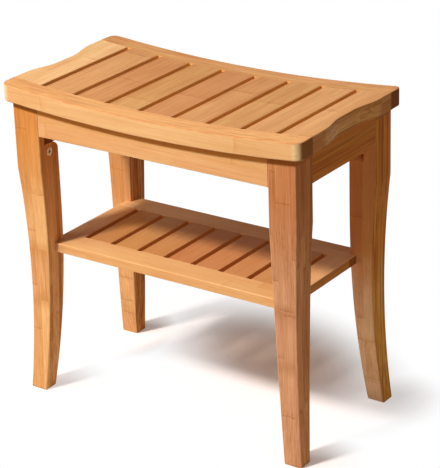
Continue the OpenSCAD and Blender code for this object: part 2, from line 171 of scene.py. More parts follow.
def outer_face(top, foot, hollow, z):
    """Straight above the knee, and a hollow arc from there to the foot."""
    if z >= knee_z:
        return top
    half_chord = math.hypot(knee_z, foot - top) / 2
    r = (half_chord ** 2 + hollow ** 2) / (2 * hollow)
    out_x, out_z = knee_z / (2 * half_chord), (foot - top) / (2 * half_chord)
    centre_x = (top + foot) / 2 + out_x * (r - hollow)
    centre_z = knee_z / 2 + out_z * (r - hollow)
    return centre_x - math.sqrt(r * r - (z - centre_z) ** 2)


shelf_notch_x = inner_face(leg_xi, foot_xi, bend_x, shelf_top) - GLUE_GAP
shelf_notch_y = inner_face(leg_yi, foot_yi, bend_y, shelf_top) - GLUE_GAP
leg_mid_y = (leg_yo + leg_yi) / 2
shelf_mid = (shelf_z + shelf_top) / 2
cam_axis = shelf_thick / 2
cam_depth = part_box("shelf_cam_locks")[1].z - shelf_z + GLUE_GAP
shelf_bolt_y = (shelf_notch_y + shelf_half_dep) / 2


# Mesh building
def steps(start, end, most):
    """Numbers from start to end, at most that far apart."""
    count = max(1, math.ceil(abs(end - start) / most))
    return [start + (end - start) * i / count for i in range(count + 1)]


def quarter_turn(count):
    """Angles from nothing to a right angle, in that many steps."""
    return [math.pi / 2 * i / count for i in range(count + 1)]


def new_piece(name, bm):
    """Object from a bmesh, linked to the scene."""
    bmesh.ops.recalc_face_normals(bm, faces=bm.faces)
    mesh = bpy.data.meshes.new(name)
    bm.to_mesh(mesh)
    bm.free()
    piece = bpy.data.objects.new(name, mesh)
    bpy.context.scene.collection.objects.link(piece)
    return piece


def finish_shading(piece):
    """Smooth where faces meet at a small angle, with flat faces that look flat beside rounded edges."""
    piece.data.shade_smooth()
    piece.data.set_sharp_from_angle(angle=SMOOTH_ANGLE)
    weighted = piece.modifiers.new("flat_faces", "WEIGHTED_NORMAL")
    weighted.keep_sharp = True


def offset_corner(before, here, after, gap_before, gap_after):
    """Where an outline's corner goes when its two sides move inwards by the two gaps. Where the two sides are
    nearly in one line, it moves straight inwards by the gaps' mean."""
    a = (here - before).normalized()
    b = (after - here).normalized()
    inward_a, inward_b = Vector((-a.y, a.x)), Vector((-b.y, b.x))
    cross = inward_a.x * inward_b.y - inward_a.y * inward_b.x
    if abs(cross) < NEARLY_STRAIGHT:
        middle = (inward_a + inward_b).normalized()
        return here + middle * (gap_before + gap_after) / 2
    move_x = (gap_before * inward_b.y - gap_after * inward_a.y) / cross
    move_y = (inward_a.x * gap_after - inward_b.x * gap_before) / cross
    return here + Vector((move_x, move_y))


def plank(name, outline, thick, place, paired, soaked=lambda u, v: False):
    """Board with a counter-clockwise outline of (u, v, rounding of the side before, of the side after).
    Its edges on both faces are rounded, and place turns (u, v, depth) into a point of the frame.
    A paired outline goes out along one side and back along the other, point for point.
    The vertices carry two numbers for the material: arris is 1 on the rounded edges, which the material
    paints with a highlight or shade, and the other is 1 on the narrow sides that the test of (u, v) given
    last picks for painted shade, as in the slots."""
    points = [Vector(p[:2]) for p in outline]
    count = len(points)
    bm = bmesh.new()
    edge_layer = bm.verts.layers.float.new("arris")
    dark = bm.verts.layers.float.new("soaked")
    turns = [0.0, EDGE_PAINT_FROM] + quarter_turn(ARRIS_STEPS)[1:]
    rings = []
    for face, order in ((0, turns), (1, turns[::-1])):
        for turn in order:
            ring = []
            for i, (_, _, r_before, r_after) in enumerate(outline):
                inset = 1 - math.sin(turn)
                corner = offset_corner(points[i - 1], points[i], points[(i + 1) % count],
                                       r_before * inset, r_after * inset)
                sunk = (r_before + r_after) / 2 * (1 - math.cos(turn))
                vert = bm.verts.new(place(corner.x, corner.y, thick - sunk if face else sunk))
                vert[edge_layer] = 0.0 if turn in (turns[0], turns[-1]) else 1.0
                vert[dark] = 1.0 if turn == turns[-1] and soaked(*points[i]) else 0.0
                ring.append(vert)
            rings.append(ring)
    for upper, lower in zip(rings, rings[1:]):
        for i in range(count):
            bm.faces.new((upper[i - 1], upper[i], lower[i], lower[i - 1]))
    for ring in (rings[0], rings[-1]):
        if paired:
            for i in range(count // 2 - 1):
                bm.faces.new((ring[i], ring[i + 1], ring[count - 2 - i], ring[count - 1 - i]))
        else:
            bm.faces.new(ring)
    return new_piece(name, bm)


def carve(piece, tools):
    """The piece with the tools cut out of it and removed."""
    for tool in tools:
        cut = piece.modifiers.new(tool.name, "BOOLEAN")
        cut.operation = "DIFFERENCE"
        cut.solver = "EXACT"
        cut.object = tool
    bpy.context.view_layer.update()
    carved = piece.evaluated_get(bpy.context.evaluated_depsgraph_get())
    cut_mesh = bpy.data.meshes.new_from_object(carved)
    piece.modifiers.clear()
    piece.data = cut_mesh
    cut_mesh.name = piece.name
    for tool in tools:
        bpy.data.objects.remove(tool)
    return piece


def bore(name, start, end, diameter):
    """Round cutting tool from start to end."""
    start, end = Vector(start), Vector(end)
    turn = (end - start).to_track_quat("Z", "Y")
    bm = bmesh.new()
    bmesh.ops.create_cone(bm, cap_ends=True, segments=BORE_SIDES, radius1=diameter / 2, radius2=diameter / 2,
                          depth=(end - start).length,
                          matrix=Matrix.Translation((start + end) / 2) @ turn.to_matrix().to_4x4())
    return new_piece(name, bm)


def prism(name, outline, x0, x1):
    """Cutting tool with an outline of (y, z) points between x0 and x1."""
    bm = bmesh.new()
    ends = [[bm.verts.new((x, y, z)) for y, z in outline] for x in (x0, x1)]
    for i in range(len(outline)):
        bm.faces.new((ends[0][i - 1], ends[0][i], ends[1][i], ends[1][i - 1]))
    for end in ends:
        bm.faces.new(end)
    return new_piece(name, bm)


# Seat
def on_seat(sx, sy):
    """Places on the curved seat, for boards drawn at the right or rear and mirrored by the signs."""
    def place(u, v, depth):
        return Vector((sx * u, sy * v, seat_z(u, depth)))
    return place


def slot_edges(prefix, count):
    """Where the drain slots start and end, from left to right."""
    inner = [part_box(f"{prefix}_slat_{i}") for i in range(1, count + 1)]
    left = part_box(f"{prefix}_end_board_left")[1].x
    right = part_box(f"{prefix}_end_board_right")[0].x
    starts = [left] + [high.x for _, high in inner]
    ends = [low.x for low, _ in inner] + [right]
    return list(zip(starts, ends))


def rail_side(slots, half):
    """Stations and roundings along a rail's inner side: tight at the joints and rounded at the slots."""
    spots = [(-half, JOINT_R)]
    for start, end in slots:
        spots += [(start - FADE, JOINT_R), (start + FADE, SLOT_R)]
        spots += [(end - FADE, SLOT_R), (end + FADE, JOINT_R)]
    spots.append((half, JOINT_R))
    side = []
    for (x0, r0), (x1, r1) in zip(spots, spots[1:]):
        side += [(x, r0 + (r1 - r0) * (x - x0) / (x1 - x0)) for x in steps(x0, x1, STATION)[:-1]]
    return side + [(half, JOINT_R)]


def in_slots(slots, inner_v):
    """Test of a rail's outline point: on its inner side, at inner_v, and inside a drain slot."""
    return lambda u, v: v == inner_v and any(start < u < end for start, end in slots)


def seat_rail(name, sy):
    """Rail that follows the seat's dip, with rounded corners at its outer ends."""
    turn_x = half_len - CORNER_R
    slots = slot_edges("seat", SEAT_SLATS)
    side = [(x, r) for x, r in rail_side(slots, half_len) if abs(x) < turn_x]
    ends = [(turn_x + CORNER_R * math.sin(a), half_dep - CORNER_R * (1 - math.cos(a)),
             EDGE_R + (END_R - EDGE_R) * a / (math.pi / 2)) for a in quarter_turn(CORNER_STEPS)]
    xs = [-x for x, _, _ in reversed(ends)] + [x for x, _ in side] + [x for x, _, _ in ends]
    inner_r = [JOINT_R] * len(ends) + [r for _, r in side] + [JOINT_R] * len(ends)
    outer = ([(y, r) for _, y, r in reversed(ends)] + [(half_dep, EDGE_R)] * len(side)
             + [(y, r) for _, y, r in ends])
    inner_side = [(x, rail_in, r, r) for x, r in zip(xs, inner_r)]
    outer_side = [(x, y, r, r) for x, (y, r) in zip(xs, outer)]
    inner_side[0] = (xs[0], rail_in, END_R, JOINT_R)
    inner_side[-1] = (xs[-1], rail_in, JOINT_R, END_R)
    return plank(name, inner_side + outer_side[::-1], SEAT_THICK, on_seat(1, sy), True,
                 in_slots(slots, rail_in))


def grip_x(y):
    """Outer end of the right end board, with the recess for the fingers."""
    run = (GRIP_WIDTH - GRIP_FLAT) / 2
    along = min(max((abs(y) - GRIP_FLAT / 2) / run, 0), 1)
    return half_len - GRIP_DEPTH * (1 + math.cos(math.pi * along)) / 2


def seat_end_board(name, sx):
    """Board between the rails at one end, with the grip recess in its outer edge."""
    ys = steps(-rail_in, rail_in, GRIP_STATION)
    inner = [(end_board_in, y, SLOT_R, SLOT_R) for y in reversed(ys)]
    outer = [(grip_x(y), y, END_R, END_R) for y in ys]
    inner[0] = (end_board_in, rail_in, JOINT_R, SLOT_R)
    inner[-1] = (end_board_in, -rail_in, SLOT_R, JOINT_R)
    outer[0] = (half_len, -rail_in, JOINT_R, END_R)
    outer[-1] = (half_len, rail_in, END_R, JOINT_R)
    return plank(name, inner + outer, SEAT_THICK, on_seat(sx, 1), True, lambda u, v: u == end_board_in)


def slat(name, node_name, reach, thick, place):
    """Slat between two rails, as wide as its node."""
    low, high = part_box(node_name)
    xs = steps(low.x, high.x, STATION)
    near = [(x, -reach, JOINT_R, JOINT_R) for x in xs]
    far = [(x, reach, JOINT_R, JOINT_R) for x in reversed(xs)]
    near[0], near[-1] = (low.x, -reach, SLOT_R, JOINT_R), (high.x, -reach, JOINT_R, SLOT_R)
    far[0], far[-1] = (high.x, reach, SLOT_R, JOINT_R), (low.x, reach, JOINT_R, SLOT_R)
    return plank(name, near + far, thick, place, True, lambda u, v: u in (low.x, high.x))


# Aprons
def long_apron(name, sy):
    """Apron whose top follows the underside of the seat."""
    xs = steps(-apron_len, apron_len, STATION)
    lower = [(x, apron_z, APRON_R, APRON_R) for x in xs]
    upper = [(x, under_z(x), JOINT_R, JOINT_R) for x in reversed(xs)]
    lower[0], lower[-1] = (xs[0], apron_z, JOINT_R, APRON_R), (xs[-1], apron_z, APRON_R, JOINT_R)

    def place(u, v, depth):
        return Vector((u, sy * (apron_yo - depth), v))
    return plank(name, lower + upper, apron_yo - apron_yi, place, True)


def short_apron(name, sx):
    """Apron across the end of the seat, with its top on the seat's slanting underside."""
    ys = steps(-side_apron_high.y, side_apron_high.y, STATION)
    lower = [(y, apron_z, APRON_R, APRON_R) for y in ys]
    upper = [(y, under_z(apron_xo), 0, 0) for y in reversed(ys)]
    lower[0], lower[-1] = (ys[0], apron_z, JOINT_R, APRON_R), (ys[-1], apron_z, APRON_R, JOINT_R)

    def place(u, v, depth):
        x = apron_xo - depth
        return Vector((sx * x, u, min(v, under_z(x))))
    return plank(name, lower + upper, apron_xo - apron_xi, place, True)


# Legs
def leg_ring(bm, z, inset, edge_layer):
    """Rounded rectangle round the leg at height z, or up to the seat's underside where z is None."""
    level = seat_low if z is None else z
    x0 = inner_face(leg_xi, foot_xi, bend_x, level) + inset
    x1 = outer_face(leg_xo, foot_xo, HOLLOW_X, level) - inset
    y0 = inner_face(leg_yi, foot_yi, bend_y, level) + inset
    y1 = outer_face(leg_yo, foot_yo, HOLLOW_Y, level) - inset
    r = LEG_R - inset / 2
    centres = ((x1 - r, y1 - r), (x0 + r, y1 - r), (x0 + r, y0 + r), (x1 - r, y0 + r))
    ring = []
    for corner, (cx, cy) in enumerate(centres):
        for i in range(ARRIS_STEPS + 2):
            share = i / (ARRIS_STEPS + 1)
            angle = math.pi / 2 * (corner + share)
            x, y = cx + r * math.cos(angle), cy + r * math.sin(angle)
            vert = bm.verts.new((x, y, under_z(x) if z is None else z))
            vert[edge_layer] = min(1, EDGE_PAINT_WIDTH * math.sin(math.pi * share))
            ring.append(vert)
    return ring


def leg_tools():
    """Cutting tools for the notch that the corner block's tongue fills, the cam lock's bore and the holes for
    the two bolts."""
    rounding = [(leg_yi + SHOULDER_R * (1 - math.sin(a)), shoulder_z - SHOULDER_R * (1 - math.cos(a)))
                for a in quarter_turn(CORNER_STEPS)]
    notch_y = leg_yo - CHEEK
    notch = [(leg_yi - PAST, seat_rail_high.z), (notch_y, seat_rail_high.z), (notch_y, shoulder_z)] + rounding
    notch.append((leg_yi - PAST, shoulder_z - SHOULDER_R))
    cam_z = shoulder_z - CAM_SET
    bolt_x = leg_xi + cam_axis
    return [
        prism("notch", notch, leg_xi - PAST, apron_xi),
        bore("cam_bore", (leg_xi - PAST, leg_mid_y, cam_z), (leg_xi + cam_depth, leg_mid_y, cam_z),
             CAM_BORE_D),
        bore("bolt_bore", (bolt_x, leg_mid_y, cam_z), (bolt_x, leg_mid_y, shoulder_z + PAST), BOLT_BORE_D),
        bore("shelf_bolt_hole", (shelf_notch_x - PAST, shelf_bolt_y, shelf_mid),
             (shelf_notch_x + THREAD_HOLE_L, shelf_bolt_y, shelf_mid), THREAD_HOLE_D),
    ]


def leg(name, sx, sy):
    """Leg made at the rear right and mirrored to its own corner."""
    bm = bmesh.new()
    edge_layer = bm.verts.layers.float.new("arris")
    heights = steps(FOOT_R, bend_y, LEG_RING) + steps(bend_y, bend_x, LEG_RING)[1:]
    heights += steps(bend_x, knee_z, LEG_RING)[1:] + [shoulder_z - SHOULDER_R, apron_z]
    rings = [leg_ring(bm, FOOT_R * (1 - math.sin(a)), FOOT_R * (1 - math.cos(a)), edge_layer)
             for a in FOOT_TURNS]
    rings += [leg_ring(bm, z, 0, edge_layer) for z in heights] + [leg_ring(bm, None, 0, edge_layer)]
    for lower, upper in zip(rings, rings[1:]):
        for i in range(len(lower)):
            bm.faces.new((lower[i - 1], lower[i], upper[i], upper[i - 1]))
    bm.faces.new(rings[0])
    bm.faces.new(rings[-1])
    piece = carve(new_piece(name, bm), leg_tools())
    piece.data.transform(Matrix.Diagonal((sx, sy, 1, 1)))
    if sx * sy < 0:
        piece.data.flip_normals()
    return piece


# Shelf
def on_shelf(sx, sy):
    """Places on the flat shelf, mirrored in the same way."""
    def place(u, v, depth):
        return Vector((sx * u, sy * v, shelf_top - depth))
    return place


def shelf_rail(name, sy):
    """Rail notched round the legs at both ends, with the bores for its cam locks and bolts."""
    slots = slot_edges("shelf", SHELF_SLATS)
    inner = [(x, shelf_rail_in, r, r) for x, r in rail_side(slots, shelf_half_len)]
    inner[0] = (-shelf_half_len, shelf_rail_in, SHELF_R, JOINT_R)
    inner[-1] = (shelf_half_len, shelf_rail_in, JOINT_R, SHELF_R)
    right = [(shelf_half_len, shelf_notch_y, SHELF_R, JOINT_R),
             (shelf_notch_x, shelf_notch_y, JOINT_R, JOINT_R),
             (shelf_notch_x, shelf_half_dep, JOINT_R, SHELF_R)]
    left = [(-x, y, after, before) for x, y, before, after in reversed(right)]
    piece = plank(name, inner + right + left, shelf_thick, on_shelf(1, sy), False,
                  in_slots(slots, shelf_rail_in))
    y = sy * shelf_bolt_y
    tools = []
    for sx in (-1, 1):
        x = sx * (shelf_notch_x - CAM_SET)
        tools.append(bore("cam_bore", (x, y, shelf_z - PAST), (x, y, shelf_z + cam_depth), CAM_BORE_D))
        tools.append(bore("bolt_bore", (x, y, shelf_mid), (sx * (shelf_notch_x + PAST), y, shelf_mid),
                          BOLT_BORE_D))
    return carve(piece, tools)


def shelf_end_board(name, sx):
    """Board between the rails at one end, with painted shade on all its narrow sides."""
    x0, x1, y1 = shelf_end_in, shelf_half_len, shelf_rail_in
    outline = [(x0, y1, JOINT_R, SLOT_R), (x0, -y1, SLOT_R, JOINT_R),
               (x1, -y1, JOINT_R, SHELF_R), (x1, y1, SHELF_R, JOINT_R)]
    return plank(name, outline, shelf_thick, on_shelf(sx, 1), False, lambda u, v: True)


# Shader nodes
def srgb(red, green, blue):
    """Colour as linear light from the usual 0 to 255 values."""
    def linear(value):
        v = value / 255
        return v / 12.92 if v <= 0.04045 else ((v + 0.055) / 1.055) ** 2.4
    return (linear(red), linear(green), linear(blue), 1)


def node(tree, kind, inputs=None, **settings):
    """Shader node with its settings, and with its inputs set to values or linked to sockets."""
    made = tree.nodes.new(kind)
    for key, value in settings.items():
        setattr(made, key, value)
    for key, value in (inputs or {}).items():
        if isinstance(value, bpy.types.NodeSocket):
            tree.links.new(value, made.inputs[key])
        else:
            made.inputs[key].default_value = value
    return made


def calc(tree, operation, *values):
    """Number that a maths node works out from values or sockets."""
    return node(tree, "ShaderNodeMath", dict(enumerate(values)), operation=operation).outputs[0]


def plus(tree, base, share, amount):
    """Base with that share of the amount added."""
    return calc(tree, "MULTIPLY_ADD", share, amount, base)


def vary(tree, base, chance, amount):
    """Base moved by up to half the amount, down or up, as the chance goes from 0 to 1."""
    return plus(tree, base, calc(tree, "SUBTRACT", chance, 0.5), amount)


def ramp(tree, value, start, end, low=0.0, high=1.0):
    """Smooth change from low to high as value goes from start to end."""
    return node(tree, "ShaderNodeMapRange",
                {"Value": value, "From Min": start, "From Max": end, "To Min": low, "To Max": high},
                interpolation_type="SMOOTHSTEP").outputs[0]


def vector(tree, operation, *values):
    """Vector made from the values, or a number where the operation is a length or a distance."""
    made = node(tree, "ShaderNodeVectorMath", dict(enumerate(values)), operation=operation).outputs
    return made["Value" if operation in ("LENGTH", "DISTANCE") else "Vector"]


def combine(tree, x, y, z=0.0):
    return node(tree, "ShaderNodeCombineXYZ", {0: x, 1: y, 2: z}).outputs[0]


def separate(tree, place):
    return node(tree, "ShaderNodeSeparateXYZ", {0: place}).outputs


def mix(tree, share, a, b, blend="MIX"):
    """Colour a with that share of b over it, or multiplied with it."""
    return node(tree, "ShaderNodeMix", {0: share, 6: a, 7: b}, data_type="RGBA", blend_type=blend).outputs[2]


def noise(tree, place, scale, detail=2.0, rough=0.5):
    return node(tree, "ShaderNodeTexNoise",
                {"Vector": place, "Scale": scale, "Detail": detail, "Roughness": rough},
                noise_dimensions="3D").outputs["Fac"]


def random_at(tree, cell):
    """White noise that is the same all over a cell: one random number as Value and three as Color."""
    return node(tree, "ShaderNodeTexWhiteNoise", {"Vector": cell}, noise_dimensions="3D").outputs


def point_layer(tree, name):
    """Number that a board's vertices carry."""
    return node(tree, "ShaderNodeAttribute", attribute_name=name).outputs["Fac"]


def new_material(name):
    """Material with its node tree and its shader."""
    material = bpy.data.materials.new(name)
    material.use_nodes = True
    return material, material.node_tree, material.node_tree.nodes["Principled BSDF"]


# Bamboo: the pale and the deep colour of each kind of strip
TONES = {
    "pearl": (srgb(252, 214, 154), srgb(218, 155, 95)),
    "straw": (srgb(250, 203, 144), srgb(215, 145, 87)),
    "cream": (srgb(247, 204, 144), srgb(214, 146, 86)),
    "wheat": (srgb(232, 178, 120), srgb(198, 130, 75)),
    "honey": (srgb(233, 174, 113), srgb(191, 122, 67)),
    "tan": (srgb(226, 168, 107), srgb(186, 115, 60)),
    "amber": (srgb(240, 182, 122), srgb(194, 120, 64)),
    "rose": (srgb(254, 205, 152), srgb(212, 145, 96)),
    "umber": (srgb(222, 160, 118), srgb(170, 106, 66)),
    "russet": (srgb(232, 156, 66), srgb(182, 104, 36)),
}

# Tints that multiply the wood's colour: of veins, of cut ends, of a leg's redder end, and of the faces that
# show the layers on most boards, on the front rail and on two of the legs. The layer faces' tints are partly
# the look of edge grain and partly painted shade, deepening side faces that lie in shade
VEIN = srgb(150, 84, 34)
END_TINT = srgb(158, 124, 94)
WARM_TINT = srgb(236, 207, 168)
EDGE_TINT = srgb(250, 232, 190)
RAIL_TINT = srgb(243, 218, 192)
UMBER_TINT = srgb(254, 231, 167)
ROSE_TINT = srgb(238, 207, 121)

# Darker colours painted on rounded edges, as painted shade that dulls their highlight
RAIL_ARRIS = srgb(204, 136, 80)
ROSE_ARRIS = srgb(172, 106, 60)

# Colours of painted shade: in the slots, on the shelf end boards' sides, and close under the seat, where the
# colour fades between two depths
SEAT_SLOT_SHADE = srgb(236, 176, 100)
SHELF_SLOT_SHADE = srgb(206, 132, 64)
SHELF_END_SHADE = srgb(184, 108, 44)
APRON_SEAT_SHADE = srgb(201, 120, 40)
LEG_SEAT_SHADE = srgb(164, 92, 32)
SEAT_SHADE_FROM = 8 * MM
SEAT_SHADE_TO = 10.5 * MM
SHADE_PAINT_SHARE = 0.85

# Noises along the grain: repeats per metre along and across it, detail, roughness
GRAIN_NOISES = {
    "cloud": (9.0, 34.0, 3.0, 0.5),
    "streak": (11.0, 520.0, 3.0, 0.6),
    "fibre": (38.0, 2300.0, 3.0, 0.65),
    "fleck": (55.0, 1500.0, 1.0, 0.5),
    "patch": (60.0, 90.0, 2.0, 0.5),
    "vein": (5.0, 320.0, 2.0, 0.6),
}
STRIP_SHIFT = 7.0

# The tone goes from 0, deep, to 1, pale: how far chance spreads it, and how far each mark moves it
TONE_MEAN = 0.55
TONE_SPREADS = {"length": 0.25, "cloud": 0.9, "streak": 1.2, "fibre": 1.0}
TONE_MARKS = {"fleck": -0.16, "ring": -0.30, "band": -0.20, "glow": 0.06}
TONE_GLUE = -0.45
EDGE_CONTRAST = 1.6
HUE_SPREAD = 0.008

# Values between which a noise turns into flecks, patches or veins, and how strong the veins are
FLECKED = (0.66, 0.74)
PATCHED = (0.35, 0.65)
VEINED = (0.50, 0.60)
VEIN_ON_FLAT = 0.06
VEIN_MORE_ON_EDGE = 0.42

# Faces that show the layers' edges and faces that show cut ends, by how squarely they face that way
EDGE_FACE = (0.55, 0.85)
END_FACE = (0.70, 0.97)

# Rings of the bamboo stem, which cross each strip, and glue lines
RING_LINE = (1.4 * MM, 0.3 * MM)
RING_BAND = 12 * MM
RING_STEP = 1 * MM
RING_WAVE = 6 * MM
RING_WAVE_SCALE = 120.0
RING_LUCK = 5.0
RING_ON_EDGE = 0.15
LENGTH_CELL = 17.0
GLUE_LINE = 0.35 * MM

# Cut fibres on the ends
DOTS_PER_METRE = 1150.0
DOT_SIZE = (0.42, 0.18)
DOT_DEPTH = 0.35
END_DEPTH = 0.45
END_SHARE = 0.7

# Painted highlight or shade on rounded edges in patches, lacquer, roughness, and heights for the bump
EDGE_PAINT_SCALE = 60.0
EDGE_PAINT_PATCHES = (0.30, 0.70, 0.6, 1.0)
ROUGH_MEAN = 0.42
ROUGH_FIBRE = 0.22
ROUGH_END = 0.14
ROUGH_EDGE_PAINT = 0.25
HEIGHT_GLUE = -0.7
HEIGHT_RING = 0.6
HEIGHT_DOT = -0.5
GRAIN_BUMP = {"Strength": 0.30, "Distance": 0.3 * MM}
LACQUER = {"Coat Weight": 0.02, "Coat Roughness": 0.3, "Specular IOR Level": 0.02}

# What the bamboo is given by each board, and what it gives back
BAMBOO_INPUTS = {
    "Vector": ("Place", "Normal"),
    "Float": ("Strip", "Layer", "Stagger", "Spacing", "Seed", "Contrast", "Edge", "Edge Paint", "Warm", "Warm From",
              "Warm To", "Vein", "Seat Shade"),
    "Color": ("Pale", "Deep", "Edge Color", "Shade Color", "Arris"),
}
BAMBOO_OUTPUTS = {"Base Color": "Color", "Roughness": "Float", "Normal": "Vector"}


def open_group():
    """Node group with the bamboo's sockets, and what it is given."""
    tree = bpy.data.node_groups.new("laminated_bamboo", "ShaderNodeTree")
    for kind, names in BAMBOO_INPUTS.items():
        for name in names:
            tree.interface.new_socket(name, in_out="INPUT", socket_type="NodeSocket" + kind)
    for name, kind in BAMBOO_OUTPUTS.items():
        tree.interface.new_socket(name, in_out="OUTPUT", socket_type="NodeSocket" + kind)
    return tree, tree.nodes.new("NodeGroupInput").outputs


def strip_cells(tree, given, across, deep):
    """Place counted in strips and in layers, and a cell that is the same all over one strip."""
    layer_at = calc(tree, "DIVIDE", deep, given["Layer"])
    layer = calc(tree, "FLOOR", layer_at)
    stagger = random_at(tree, combine(tree, layer, given["Seed"]))["Value"]
    strip_at = calc(tree, "ADD", calc(tree, "DIVIDE", across, given["Strip"]),
                    calc(tree, "MULTIPLY", stagger, given["Stagger"]))
    return strip_at, layer_at, combine(tree, calc(tree, "FLOOR", strip_at), layer, given["Seed"])


def stem_rings(tree, given, along, cell, luck, flat_face, patch):
    """Rings across each strip: a thin dark line with a darker band on one side and a paler one on the other.
    The last result is a random number for each length between two rings."""
    wave = calc(tree, "SUBTRACT", noise(tree, given["Place"], RING_WAVE_SCALE), 0.5)
    waved = calc(tree, "ADD", along, calc(tree, "MULTIPLY", wave, RING_WAVE))
    turns = calc(tree, "ADD", calc(tree, "DIVIDE", waved, given["Spacing"]),
                 calc(tree, "MULTIPLY", luck, RING_LUCK))
    off = calc(tree, "MULTIPLY", calc(tree, "SUBTRACT", calc(tree, "FRACT", turns), 0.5), given["Spacing"])
    line = calc(tree, "MULTIPLY", ramp(tree, calc(tree, "ABSOLUTE", off), *RING_LINE),
                plus(tree, RING_ON_EDGE, flat_face, 1 - RING_ON_EDGE))
    band = calc(tree, "MULTIPLY", calc(tree, "MULTIPLY", patch, flat_face),
                calc(tree, "MULTIPLY", ramp(tree, off, RING_BAND, 0.0), ramp(tree, off, -RING_STEP, 0.0)))
    glow = calc(tree, "MULTIPLY", ramp(tree, off, -RING_BAND, 0.0), ramp(tree, off, RING_STEP, 0.0))
    length = combine(tree, calc(tree, "MULTIPLY", calc(tree, "ROUND", turns), LENGTH_CELL), 0.0)
    return line, band, glow, random_at(tree, vector(tree, "ADD", cell, length))["Value"]


def glue_lines(tree, given, strip_at, layer_at):
    """Thin lines where two strips or two layers meet."""
    def border(at, width):
        inside = calc(tree, "ABSOLUTE", calc(tree, "SUBTRACT", calc(tree, "FRACT", at), 0.5))
        return ramp(tree, calc(tree, "MULTIPLY", calc(tree, "SUBTRACT", 0.5, inside), width), GLUE_LINE, 0.0)
    return calc(tree, "MAXIMUM", border(strip_at, given["Strip"]), border(layer_at, given["Layer"]))


